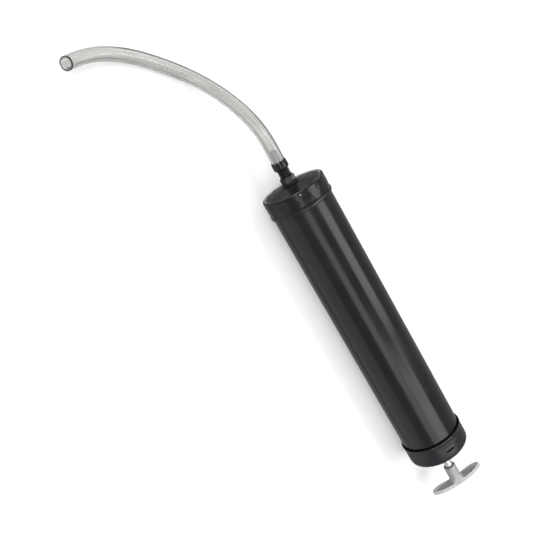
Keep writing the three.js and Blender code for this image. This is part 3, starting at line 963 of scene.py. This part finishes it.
def relief(material, height, depth_mm, strength=1.0):
    bump = node_of(material, "ShaderNodeBump")
    bump.inputs["Distance"].default_value = depth_mm * MM
    bump.inputs["Strength"].default_value = strength
    link(material, height, bump.inputs["Height"])
    drive(material, "Normal", bump.outputs["Normal"])


def wear(*pieces_and_finish):
    *dressed, material = pieces_and_finish
    for piece in dressed:
        piece.data.materials.clear()
        piece.data.materials.append(material)
    print(material.name, "on", ", ".join(piece.name for piece in dressed))


def how_far(material, point):
    """How far a place on the piece is from one point, in metres."""
    gap = node_of(material, "ShaderNodeVectorMath", operation="DISTANCE")
    link(material, own_place(material), gap.inputs[0])
    gap.inputs[1].default_value = point
    return gap.outputs["Value"]


def along_direction(material, vector, direction):
    """How far a vector reaches along a direction, fixed or from another node."""
    dot = node_of(material, "ShaderNodeVectorMath", operation="DOT_PRODUCT")
    link(material, vector, dot.inputs[0])
    if isinstance(direction, bpy.types.NodeSocket):
        link(material, direction, dot.inputs[1])
    else:
        dot.inputs[1].default_value = direction
    return dot.outputs["Value"]


def from_axis(material):
    """How far a point is from the barrel's axis, in metres."""
    where = node_of(material, "ShaderNodeTexCoord")
    parts = node_of(material, "ShaderNodeSeparateXYZ")
    link(material, where.outputs["Object"], parts.inputs[0])
    up = combine_values(material, "SUBTRACT", parts.outputs["Z"], AXIS_Z)
    across_squared = combine_values(material, "POWER", parts.outputs["Y"], 2.0)
    up_squared = combine_values(material, "POWER", up, 2.0)
    total = combine_values(material, "ADD", across_squared, up_squared)
    return combine_values(material, "SQRT", total, 0.0)


# %% [markdown]
# ### Black paint on the barrel
# Satin black enamel over a drawn tube. Its long drawing lines still show faintly, it has the
# slight ripple of sprayed paint, and handling has polished it in patches. The gloss matters more
# than the colour: the streaks down the barrel are the studio's lights.

# %% Barrel paint
barrel_paint = new_finish("barrel_paint", (0.006, 0.006, 0.006), 0.3, IOR=1.45)
patches = noise(barrel_paint, 28, 4)
drawn_lines = noise(barrel_paint, 600, 4, stretch=(0.012, 1, 1))
ripple = noise(barrel_paint, 900, 2)
tone = combine_values(
    barrel_paint, "ADD", spread(barrel_paint, patches, 0.3, 0.7, 0, 0.6),
    spread(barrel_paint, drawn_lines, 0.4, 0.7, 0, 0.4),
)
deep_black = (0.005, 0.005, 0.0052)
worn_black = (0.009, 0.009, 0.0093)
drive(barrel_paint, "Base Color", blend_colours(barrel_paint, tone, deep_black, worn_black))
drive(barrel_paint, "Roughness", spread(barrel_paint, patches, 0.3, 0.75, 0.16, 0.26))
relief(barrel_paint, combine_values(barrel_paint, "ADD", ripple, drawn_lines), 0.004)
wear(barrel_tube, barrel_paint)

# %% [markdown]
# ### Gloss paint on the caps
# The caps are pressings painted before they were crimped, so they shine more and their skirts are
# slightly dented. Bare-steel colour is painted along the bead, the lip's crest and the burr tops: painted
# highlights and glints, with some rubbed paint on the bead. How far a point is from the axis finds those
# edges, and how far it is from a burr's top finds the burr.

# %% Cap paint
DISH_EDGE = 24.8
LIP_FOOT = 21.5
LIP_CREST = 25.3
BEAD_RUB_HIGHLIGHT_FROM = 27.3
BUMP_TOP = 27.35
BARE_STEEL_HIGHLIGHT = (0.5, 0.5, 0.51)
GLINT_SPOT_FULL = 0.45
GLINT_SPOT_EDGE = 0.75
CREST_SHARPNESS = 5.0


def cap_finish(name, dark, light, shine, face_shine, dent_depth, glint_spots=(), lip_highlight=0.0):
    """Paint over a pressing: glossier on its skirt than on its face, with painted highlights in bare
    steel on its high edges.
    """
    paint = new_finish(name, dark, shine[0], IOR=1.42)
    scuffs = noise(paint, 160, 5)
    distance = from_axis(paint)
    # Painted highlight, partly rubbed paint: a faint bare-steel band on the bead.
    high = spread(paint, distance, BEAD_RUB_HIGHLIGHT_FROM * MM, (BEAD_RUB_HIGHLIGHT_FROM + 0.2) * MM, 0, 0.1)
    rub_and_highlight = combine_values(paint, "MULTIPLY", high, spread(paint, scuffs, 0.5, 0.7, 0, 1))
    # Painted highlight: a bare-steel line along the lip's crest, its strength set for each cap.
    climb = spread(paint, distance, LIP_FOOT * MM, LIP_CREST * MM, 0, 1)
    beyond = spread(paint, distance, LIP_CREST * MM, (LIP_CREST + 0.3) * MM, 1, 0)
    steep = combine_values(paint, "POWER", climb, CREST_SHARPNESS)
    crest = combine_values(paint, "MULTIPLY", steep, beyond)
    uneven = combine_values(paint, "MULTIPLY", spread(paint, scuffs, 0.3, 0.7, 0.4, 1.2), lip_highlight)
    rub_and_highlight = combine_values(paint, "MAXIMUM", rub_and_highlight, combine_values(paint, "MULTIPLY", crest, uneven))
    # Painted glints: a bare-steel spot on each burr top.
    for spot in glint_spots:
        on_glint_spot = spread(paint, how_far(paint, spot), GLINT_SPOT_FULL * MM, GLINT_SPOT_EDGE * MM, 1, 0)
        rub_and_highlight = combine_values(paint, "MAXIMUM", rub_and_highlight, on_glint_spot)
    tone = blend_colours(paint, spread(paint, noise(paint, 60), 0.3, 0.7, 0, 1), dark, light)
    drive(paint, "Base Color", blend_colours(paint, rub_and_highlight, tone, BARE_STEEL_HIGHLIGHT))
    turned_lines = noise(paint, 700, 3, stretch=(1, 0.03, 0.03))
    skirt_gloss = spread(paint, combine_values(paint, "ADD", scuffs, turned_lines), 0.7, 1.3, *shine)
    on_face = spread(paint, distance, DISH_EDGE * MM, (DISH_EDGE + 0.3) * MM, face_shine, 0)
    drive(paint, "Roughness", combine_values(paint, "MAXIMUM", skirt_gloss, on_face))
    on_skirt = spread(paint, distance, DISH_EDGE * MM, (DISH_EDGE + 1) * MM, 0, dent_depth)
    dents = combine_values(paint, "MULTIPLY", noise(paint, 130, 2), on_skirt)
    lines = combine_values(paint, "MULTIPLY", turned_lines, 1.5)
    relief(paint, combine_values(paint, "ADD", lines, dents), 0.008)
    return paint


bump_tops = [
    place(BUMP_TOP, BURR_STATION, PUNCH_FIRST_DEGREES + 120 * third) for third in range(3)
]
# The front cap gets the painted lip highlight and a painted glint on each burr top.
cap_paint = cap_finish(
    "cap_paint", (0.005, 0.005, 0.006), (0.009, 0.009, 0.011), shine=(0.16, 0.27), face_shine=0.28,
    dent_depth=90, glint_spots=bump_tops, lip_highlight=1.3,
)
wear(front_cap, cap_paint)
rear_paint = cap_finish(
    "rear_cap_paint", (0.008, 0.008, 0.010), (0.016, 0.016, 0.020), shine=(0.24, 0.38),
    face_shine=0.4, dent_depth=3,
)
wear(rear_cap, rear_paint)

# %% [markdown]
# ### Moulded black plastic, and rubber
# The nozzle and its collar are glass-filled plastic: deep black, with crisp highlights broken by a
# fine mould grain. The rubber is duller, with a greyish bloom.

# %% Plastic and rubber
black_plastic = new_finish("black_plastic", (0.008, 0.008, 0.008), 0.2, IOR=1.42)
mould_grain = noise(black_plastic, 1600, 3)
flow = noise(black_plastic, 220, 3)
plastic_tone = blend_colours(black_plastic, flow, (0.004, 0.004, 0.004), (0.010, 0.010, 0.0105))
drive(black_plastic, "Base Color", plastic_tone)
drive(black_plastic, "Roughness", spread(black_plastic, mould_grain, 0.3, 0.7, 0.1, 0.2))
relief(black_plastic, combine_values(black_plastic, "ADD", mould_grain, flow), 0.007)
wear(nozzle, collar, black_plastic)

rubber = new_finish("rubber", (0.012, 0.012, 0.012), 0.6)
bloom = noise(rubber, 120, 5)
drive(rubber, "Base Color", blend_colours(rubber, bloom, (0.004, 0.004, 0.004), (0.014, 0.014, 0.0135)))
drive(rubber, "Roughness", spread(rubber, bloom, 0.3, 0.7, 0.5, 0.75))
relief(rubber, noise(rubber, 1300, 3), 0.012)
wear(outer_washer, gasket, front_cup, rear_cup, rubber)

# %% [markdown]
# ### Zinc plate, cast alloy, nylon and felt
# Plated steel is bright with fine lines left by drawing. Cast alloy is greyer and grainier, and darker in
# its pits. The handle's rim is painted lighter, partly rubbed metal and partly a painted highlight, and
# painted shade lies along the lower edge of its dish: a Mapping node turns and squeezes space so that the
# oval plate becomes a circle, and a distance from its middle then finds both. Natural nylon is milky, and
# the wiper is oiled wool.

# %% Zinc plate
zinc = new_finish("zinc", (0.72, 0.73, 0.74), 0.25, 1.0)
polish_lines = noise(zinc, 1500, 3, stretch=(0.02, 1, 1))
clouds = noise(zinc, 180, 4)
drive(zinc, "Base Color", blend_colours(zinc, clouds, (0.74, 0.75, 0.74), (0.90, 0.90, 0.88)))
drive(zinc, "Roughness", spread(zinc, polish_lines, 0.3, 0.7, 0.4, 0.56))
relief(zinc, polish_lines, 0.003)

# %% Cast alloy, nylon and felt
FLAT_THROUGH = 1000
SHADE_RISES = (0.5, 0.76)
SHADE_ENDS = (0.84, 0.9)
RIM_HIGHLIGHT_RISES = (0.86, 0.93)

casting = new_finish("zinc_casting", (0.52, 0.52, 0.51), 0.5, 0.55)
sand_grain = noise(casting, 1300, 5)
pits = spread(casting, noise(casting, 700, 2), 0.60, 0.72, 0, 1)
grain_share = spread(casting, sand_grain, 0.35, 0.65, 0, 1)
cast_tone = blend_colours(casting, grain_share, (0.34, 0.34, 0.333), (0.56, 0.56, 0.55))
in_plate = node_of(casting, "ShaderNodeMapping", vector_type="TEXTURE")
in_plate.inputs["Location"].default_value = plate_centre
in_plate.inputs["Rotation"].default_value = (-radians(HANDLE_DEGREES), 0, 0)
in_plate.inputs["Scale"].default_value = (
    FLAT_THROUGH, HANDLE_SPAN / 2 * MM, HANDLE_WIDTH / 2 * MM,
)
link(casting, node_of(casting, "ShaderNodeTexCoord").outputs["Object"], in_plate.inputs["Vector"])
from_middle = node_of(casting, "ShaderNodeVectorMath", operation="LENGTH")
link(casting, in_plate.outputs["Vector"], from_middle.inputs[0])
oval_share = from_middle.outputs["Value"]
lower_side = along_direction(casting, in_plate.outputs["Vector"], (0, 0, 1))
# Painted shade: a dark band along the lower edge of the dish, near the rim and clear of the hub.
painted_dish_shade = combine_values(
    casting, "MULTIPLY", spread(casting, oval_share, *SHADE_RISES, 0, 0.9),
    spread(casting, oval_share, *SHADE_ENDS, 1, 0),
)
for mask in (
    spread(casting, lower_side, 0.1, 0.35, 0, 1),
    spread(casting, from_axis(casting), 6.5 * MM, 8 * MM, 0, 1),
):
    painted_dish_shade = combine_values(casting, "MULTIPLY", painted_dish_shade, mask)
# Painted highlight, partly rubbed metal: a lighter band round the rim, clear of the hub.
rim_rub_highlight = combine_values(
    casting, "MULTIPLY", spread(casting, oval_share, *RIM_HIGHLIGHT_RISES, 0, 0.7),
    spread(casting, from_axis(casting), 5.5 * MM, 6.5 * MM, 0, 1),
)
rim_highlight_tone = blend_colours(casting, rim_rub_highlight, cast_tone, (0.62, 0.62, 0.61))
shaded_tone = blend_colours(casting, painted_dish_shade, rim_highlight_tone, (0.12, 0.12, 0.115))
drive(casting, "Base Color", blend_colours(casting, pits, shaded_tone, (0.2, 0.2, 0.195)))
drive(casting, "Roughness", spread(casting, sand_grain, 0.3, 0.7, 0.45, 0.7))
relief(casting, combine_values(casting, "SUBTRACT", sand_grain, pits), 0.035)
wear(plate, casting)

nylon = new_finish("nylon", (0.78, 0.75, 0.67), 0.4)
milk = noise(nylon, 200, 3)
drive(nylon, "Base Color", blend_colours(nylon, milk, (0.70, 0.67, 0.59), (0.84, 0.81, 0.74)))
drive(nylon, "Roughness", spread(nylon, milk, 0.3, 0.7, 0.33, 0.48))
relief(nylon, noise(nylon, 1500, 2), 0.006)
wear(bush, core, nylon)

felt = new_finish("felt", (0.28, 0.25, 0.21), 0.95)
fibres = noise(felt, 2600, 6, stretch=(1, 0.4, 1))
drive(felt, "Base Color", blend_colours(felt, fibres, (0.16, 0.14, 0.11), (0.36, 0.32, 0.27)))
drive(felt, "Roughness", spread(felt, fibres, 0.3, 0.7, 0.85, 1.0))
relief(felt, fibres, 0.08)
wear(wiper, felt)

# %% [markdown]
# ### Clear vinyl
# The hose is clear but never clean: it is faintly green-grey, and drawing it through the die left
# lengthwise lines. The lines follow the hose, so they read its own map, along and around. Where Layer
# Weight says the wall is seen edge on, painted shade darkens it on the outer side of the bend and makes
# it less clear. The cut end gets the same painted shade as a thin dark ring.

# %% Clear vinyl
BEND_CENTRE = Vector((190, 110, 5.6)) * MM
CUT_SHADE_DEPTH = 0.9
RING_INSIDE = 4.5
RING_FULL = 4.8
CLEARNESS = 0.75

vinyl = new_finish("clear_vinyl", (0.86, 0.87, 0.85), 0.1, Transmission_Weight=CLEARNESS, IOR=1.4)


hose_uv = node_of(vinyl, "ShaderNodeUVMap", uv_map="along_and_around")
die_stretch = node_of(vinyl, "ShaderNodeMapping")
die_stretch.inputs["Scale"].default_value = (0.6, 5, 1)
link(vinyl, hose_uv.outputs["UV"], die_stretch.inputs["Vector"])
die_lines = node_of(vinyl, "ShaderNodeTexNoise", Scale=3.0, Detail=3.0)
link(vinyl, die_stretch.outputs["Vector"], die_lines.inputs["Vector"])
haze = noise(vinyl, 90, 3)
line_tone = spread(vinyl, die_lines.outputs["Fac"], 0.38, 0.62, 0, 1)
clear_tone = blend_colours(vinyl, line_tone, (0.6, 0.605, 0.585), (0.79, 0.795, 0.78))

outwards = node_of(vinyl, "ShaderNodeVectorMath", operation="SUBTRACT")
link(vinyl, own_place(vinyl), outwards.inputs[0])
outwards.inputs[1].default_value = BEND_CENTRE
facing = node_of(vinyl, "ShaderNodeTexCoord").outputs["Normal"]
outer_side = along_direction(vinyl, facing, outwards.outputs["Vector"])
edge_on = node_of(vinyl, "ShaderNodeLayerWeight", Blend=0.5).outputs["Facing"]
# Painted shade: a dark, less clear edge on the outer side of the bend, where the wall is seen edge on.
painted_edge_shade = combine_values(
    vinyl, "MULTIPLY", spread(vinyl, edge_on, 0.3, 0.48, 0, 0.95),
    spread(vinyl, outer_side, 0.02, 0.05, 0, 1),
)
edge_shaded_tone = blend_colours(vinyl, painted_edge_shade, clear_tone, (0.1, 0.1, 0.095))

# Painted shade: a thin, near-black and nearly opaque ring on the cut end's wall.
past_cut = along_direction(vinyl, own_place(vinyl), cut_normal)
cut_reach = cut_point.dot(cut_normal)
at_cut = spread(vinyl, past_cut, cut_reach - CUT_SHADE_DEPTH * MM, cut_reach - 0.6 * CUT_SHADE_DEPTH * MM, 0, 1)
outside_wall = spread(vinyl, how_far(vinyl, cut_point), RING_INSIDE * MM, RING_FULL * MM, 0, 1)
cut_ring_shade = combine_values(vinyl, "MULTIPLY", at_cut, outside_wall)
drive(vinyl, "Base Color", blend_colours(vinyl, cut_ring_shade, edge_shaded_tone, (0.02, 0.02, 0.018)))
shaded_parts = combine_values(vinyl, "MAXIMUM", cut_ring_shade, painted_edge_shade)
drive(vinyl, "Transmission Weight", spread(vinyl, shaded_parts, 0, 1, CLEARNESS, 0.1))
drive(vinyl, "Roughness", spread(vinyl, haze, 0.3, 0.7, 0.08, 0.2))
relief(vinyl, die_lines.outputs["Fac"], 0.005)
wear(hose, vinyl)

# %% [markdown]
# ## Dressing what is left
# The small plated pieces were made in loops, so they are found by the names the loops gave them.

# %% Zinc on every plated piece
plated = [
    rod, inner_washer, lock_nut, retaining_ring,
    *[item for item in bpy.data.objects if item.name.startswith(("piston_front_", "piston_rear_"))
      and item.name.endswith(("_pressed", "_zinc", "_split"))],
]
wear(*plated, zinc)

# %% [markdown]
# ## The studio
# A pale floor, a pale surround and a few large soft panels. A black barrel shows almost nothing of
# its own colour, so what it looks like is decided by what it reflects. Each panel is placed by the
# angle round the barrel at which it should be mirrored, and by how far along it should reach. The
# floor is kept out of reflections, because black paint would show it as a white band.

# %% Floor and surround
FLOOR_SIZE = 6
SURROUND_STRENGTH = 0.38

bpy.ops.object.select_all(action="DESELECT")
bpy.ops.mesh.primitive_plane_add(size=FLOOR_SIZE, location=(0, 0, 0))
floor = bpy.context.object
floor.name = "floor"
floor_paint = new_finish("floor_paint", (0.93, 0.93, 0.93), 0.8)
wear(floor, floor_paint)
floor.visible_glossy = False
floor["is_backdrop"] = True

world = bpy.data.worlds.new("studio")
bpy.context.scene.world = world
world.use_nodes = True
background = world.node_tree.nodes["Background"]
background.inputs["Color"].default_value = (1, 1, 1, 1)
background.inputs["Strength"].default_value = SURROUND_STRENGTH
bpy.context.scene.view_settings.view_transform = "Standard"
print("surround", SURROUND_STRENGTH)

# %% Panels round the barrel
PANEL_DISTANCE = 1.0


def panel(name, from_degrees, to_degrees, from_x, to_x, power):
    """A soft panel facing the barrel, spanning angles from straight up towards +Y."""
    middle = radians((from_degrees + to_degrees) / 2)
    outwards = Vector((0, sin(middle), cos(middle)))
    centre = Vector(((from_x + to_x) / 2, 0, AXIS_Z)) + outwards * PANEL_DISTANCE
    light = bpy.data.lights.new(name, "AREA")
    light.shape = "RECTANGLE"
    light.size = abs(to_x - from_x)
    light.size_y = 2 * PANEL_DISTANCE * abs(sin(radians(to_degrees - from_degrees) / 2))
    light.energy = power * light.size * light.size_y
    lamp = bpy.data.objects.new(name, light)
    bpy.context.scene.collection.objects.link(lamp)
    along = Vector((1, 0, 0))
    lamp.matrix_world = Matrix.Translation(centre) @ Matrix(
        (along, outwards.cross(along), outwards)
    ).transposed().to_4x4()
    print(name, "at", [round(c, 2) for c in centre])
    return lamp


panel("key_panel", 22, 44, -0.95, 0.12, power=5.6)
panel("nozzle_panel", -42, -10, -0.43, 0.15, power=9.6)
panel("handle_panel", -24, 22, -1.0, -0.5, power=8.5)
panel("front_panel", -88, -62, 0.45, 1.1, power=11)

# %% [markdown]
# ### Cards for the glossy finishes
# A small card near an object puts a line of light just where it is wanted. Each card here glows,
# yet only reflections see it. One lies in the mirror direction of each place: the front cap's
# dish, the slope up to its lip, the barrel's shaded side, and one flat of the hexagon. A lamp
# would light the floor too. One lamp, high up beyond the nozzle, is aimed at the cap as well.

# %% Lip lamp and cards
CAP_CENTRE = place(0, 0)
NOZZLE_CENTRE = place(0, -6.6)
BARREL_MIDDLE = Vector((-0.1, 0, AXIS_Z))
LIP_LAMP_SIZE = (0.7, 0.35)
LIP_LAMP_POWER = 25


def face_towards(item, target):
    """Turn a lamp or a card so that its front looks at a point."""
    item.rotation_euler = (item.location - target).to_track_quat("Z", "Y").to_euler()


lip_light = bpy.data.lights.new("lip_panel", "AREA")
lip_light.shape = "RECTANGLE"
lip_light.size, lip_light.size_y = LIP_LAMP_SIZE
lip_light.energy = LIP_LAMP_POWER * lip_light.size * lip_light.size_y
lip_lamp = bpy.data.objects.new("lip_panel", lip_light)
bpy.context.scene.collection.objects.link(lip_lamp)
lip_lamp.location = CAP_CENTRE + Vector((0.72, 0.37, 0.55))
face_towards(lip_lamp, CAP_CENTRE)


def glow_card(name, centre, target, size, strength):
    """A glowing card that only shows in glossy finishes, and lights nothing itself."""
    bpy.ops.object.select_all(action="DESELECT")
    bpy.ops.mesh.primitive_plane_add(size=size, location=centre)
    card = bpy.context.object
    card.name = name
    face_towards(card, target)
    glow = new_finish(
        f"{name}_glow", (0, 0, 0), 1.0, Emission_Color=(1, 1, 1, 1), Emission_Strength=strength,
    )
    wear(card, glow)
    card.visible_camera = False
    card.visible_diffuse = False
    card.visible_transmission = False
    card.visible_shadow = False
    card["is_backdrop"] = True


glow_card(
    "dish_card", CAP_CENTRE + 0.35 * Vector((0.23, -0.55, -0.8)), CAP_CENTRE,
    size=0.4, strength=0.24,
)
glow_card(
    "lip_card", CAP_CENTRE + 0.4 * Vector((0.9, -0.22, -0.34)), CAP_CENTRE,
    size=0.26, strength=3.4,
)
glow_card("left_card", Vector((-0.22, 0.85, -0.28)), BARREL_MIDDLE, size=1.0, strength=0.8)
glow_card(
    "hexagon_card", NOZZLE_CENTRE + 0.15 * Vector((-0.222, -0.973, -0.065)), NOZZLE_CENTRE,
    size=0.011, strength=2.4,
)

# %% [markdown]
# ### A wash over the floor
# The panels leave the floor grey. A weak sun without shadows lifts it to white, and the panels'
# own soft shadows stay.

# %% Floor wash
WASH_STRENGTH = 0.75
wash = bpy.data.lights.new("floor_wash", "SUN")
wash.energy = WASH_STRENGTH
wash.use_shadow = False
wash_lamp = bpy.data.objects.new("floor_wash", wash)
wash_lamp.visible_glossy = False
bpy.context.scene.collection.objects.link(wash_lamp)
print("floor wash", WASH_STRENGTH)

# %% [markdown]
# ## Sizes
# The fine pieces have to keep to the mechanism's size, so both boxes are measured and how far they differ
# is printed.

# %% Measure both boxes and finish
visual_low, visual_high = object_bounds()
cad_sides = [*cad_low, *cad_high]
visual_sides = [*visual_low, *visual_high]
print("grown by", [round((v - c) / MM, 2) for c, v in zip(cad_sides, visual_sides)], "mm")
